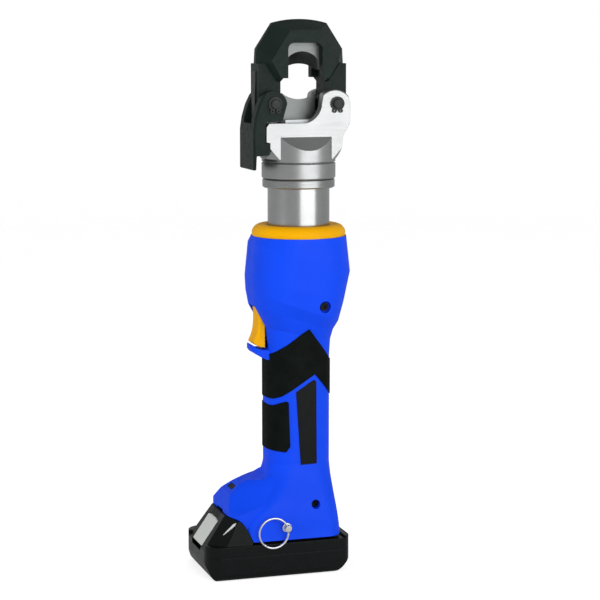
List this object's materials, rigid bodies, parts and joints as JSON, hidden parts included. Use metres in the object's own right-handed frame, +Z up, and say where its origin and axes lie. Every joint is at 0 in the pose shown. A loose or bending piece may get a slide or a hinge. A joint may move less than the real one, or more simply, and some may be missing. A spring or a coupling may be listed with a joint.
{
  "type": "cordless hydraulic cutter",
  "caption": "Slim battery cutter: black flip-top bow and latch on a steel fork, blue housing with rubber grip, orange ring and trigger, slide battery, lanyard ring.",
  "frame": {"origin": "point of the cylinder's axis on the plane of the battery's flat underside", "axes": "+Z up along the cylinder towards the cutting head, -X towards the trigger, -Y the lanyard side"},
  "size_m": [0.1248, 0.0799, 0.4369],
  "materials": {
    "bright_steel": "satin machined",
    "collar_steel": "turned",
    "tube_steel": "ground",
    "black_steel": "matte black coating",
    "pin_steel": "blackened",
    "blade_steel": "ground",
    "tool_steel": "machined",
    "spring_steel": "drawn",
    "screw_steel": "blackened",
    "ring_steel": "nickel plated",
    "seal_rubber": "smooth",
    "guide_plastic": "smooth",
    "pump_metal": "machined",
    "brass_fittings": "machined",
    "motor_steel": "zinc plated",
    "inner_plastic": "fine grained",
    "housing_blue": "fine grained",
    "grip_rubber": "matte",
    "plate_black": "satin",
    "ring_orange": "satin",
    "board_green": "coated",
    "window_clear": "frosted",
    "battery_black": "fine grained",
    "button_grey": "satin",
    "cell_wrap": "shrink wrap"
  },
  "bodies": {
    "body": {"return_spring": "spring_steel", "cylinder": "tube_steel", "swivel_ring": "pin_steel", "collar": "collar_steel", "pump_block": "pump_metal", "pump_plungers": "tool_steel", "pump_caps": "brass_fittings", "relief_valve": "brass_fittings", "oil_bladder": "seal_rubber", "ring_gear": "tool_steel", "gear_case": "pump_metal", "motor_can": "motor_steel", "motor_cap": "inner_plastic", "housing_left": "housing_blue", "housing_right": "housing_blue", "grip_left": "grip_rubber", "grip_right": "grip_rubber", "side_plate": "plate_black", "housing_screws": "screw_steel", "front_ring": "ring_orange", "trigger_pin": "spring_steel", "trigger_switch": "inner_plastic", "trigger_spring": "spring_steel", "control_board": "board_green", "indicator_window": "window_clear", "terminal_block": "inner_plastic", "lanyard_stud": "ring_steel"},
    "head": {"fork_head": "bright_steel", "hinge_pin": "pin_steel", "hinge_pin_circlips": "pin_steel"},
    "bow": {"yoke": "black_steel", "upper_blade": "blade_steel", "upper_blade_screws": "screw_steel", "latch_pin": "pin_steel", "latch_pin_circlips": "pin_steel", "latch_spring": "pin_steel"},
    "latch": {"latch_lever": "black_steel"},
    "ram_slider": {"lower_blade": "blade_steel", "blade_holder": "tool_steel", "blade_screws": "screw_steel", "ram": "tool_steel", "ram_seal": "seal_rubber", "ram_guide_ring": "guide_plastic"},
    "rotor": {"motor_rotor": "tool_steel", "sun_gear": "tool_steel"},
    "carrier": {"planet_carrier": "tool_steel", "eccentric_shaft": "tool_steel", "eccentric_bearing": "tool_steel"},
    "planet_1": {"planet_gear_1": "tool_steel"},
    "planet_2": {"planet_gear_2": "tool_steel"},
    "planet_3": {"planet_gear_3": "tool_steel"},
    "trigger_body": {"trigger": "ring_orange"},
    "lanyard": {"lanyard_ring": "ring_steel"},
    "battery": {"battery_lower_case": "battery_black", "battery_upper_case": "battery_black", "battery_screws": "screw_steel", "battery_cells": "cell_wrap", "battery_board": "board_green", "button_spring": "spring_steel"},
    "button": {"battery_button": "button_grey"}
  },
  "joints": [
    {"name": "head_swivel", "type": "hinge", "parent": "body", "child": "head", "pos_m": [0, 0, 0.3186], "axis": [0, 0, 1], "range_deg": [-175, 175]},
    {"name": "yoke_hinge", "type": "hinge", "parent": "head", "child": "bow", "pos_m": [0.0253, 0, 0.3716], "axis": [0, 1, 0], "range_deg": [0, 100]},
    {"name": "latch_hinge", "type": "hinge", "parent": "bow", "child": "latch", "pos_m": [-0.0253, 0, 0.3716], "axis": [0, 1, 0], "range_deg": [0, 60], "deforming": ["latch_spring"]},
    {"name": "ram_slide", "type": "slide", "parent": "head", "child": "ram_slider", "axis": [0, 0, 1], "range_m": [0, 0.036], "stiffness_N_per_m": 2000, "springref_m": -0.03, "deforming": ["return_spring"]},
    {"name": "trigger_hinge", "type": "hinge", "parent": "body", "child": "trigger_body", "pos_m": [-0.031, 0, 0.2081], "axis": [0, -1, 0], "range_deg": [0, 9], "stiffness_Nm_per_rad": 0.8, "springref_deg": -6.88, "deforming": ["trigger_spring"]},
    {"name": "battery_slide", "type": "slide", "parent": "body", "child": "battery", "axis": [-1, 0, 0], "range_m": [0, 0.08]},
    {"name": "button_slide", "type": "slide", "parent": "battery", "child": "button", "axis": [0, 0, -1], "range_m": [0, 0.004], "stiffness_N_per_m": 1200, "springref_m": -0.005, "deforming": ["button_spring"]},
    {"name": "lanyard_swing", "type": "hinge", "parent": "body", "child": "lanyard", "pos_m": [-0.0211, -0.0396, 0.0398], "axis": [-0.2588, 0, 0.9659], "range_deg": [0, 80]},
    {"name": "motor_spin", "type": "hinge", "parent": "body", "child": "rotor", "pos_m": [0, 0, 0.1266], "axis": [0, 0, 1], "continuous": true},
    {"name": "carrier_spin", "type": "hinge", "parent": "body", "child": "carrier", "pos_m": [0, 0, 0.1686], "axis": [0, 0, 1], "continuous": true},
    {"name": "planet_1_spin", "type": "hinge", "parent": "carrier", "child": "planet_1", "pos_m": [0.009, 0, 0.1616], "axis": [0, 0, 1], "continuous": true},
    {"name": "planet_2_spin", "type": "hinge", "parent": "carrier", "child": "planet_2", "pos_m": [-0.0045, 0.00779, 0.1616], "axis": [0, 0, 1], "continuous": true},
    {"name": "planet_3_spin", "type": "hinge", "parent": "carrier", "child": "planet_3", "pos_m": [-0.0045, -0.00779, 0.1616], "axis": [0, 0, 1], "continuous": true}
  ],
  "couplings": [
    {"joint": "latch_hinge", "follows": "yoke_hinge", "ratio": 0.6},
    {"joint": "carrier_spin", "follows": "motor_spin", "ratio": 0.25},
    {"joint": "planet_1_spin", "follows": "motor_spin", "ratio": -0.75},
    {"joint": "planet_2_spin", "follows": "motor_spin", "ratio": -0.75},
    {"joint": "planet_3_spin", "follows": "motor_spin", "ratio": -0.75}
  ]
}
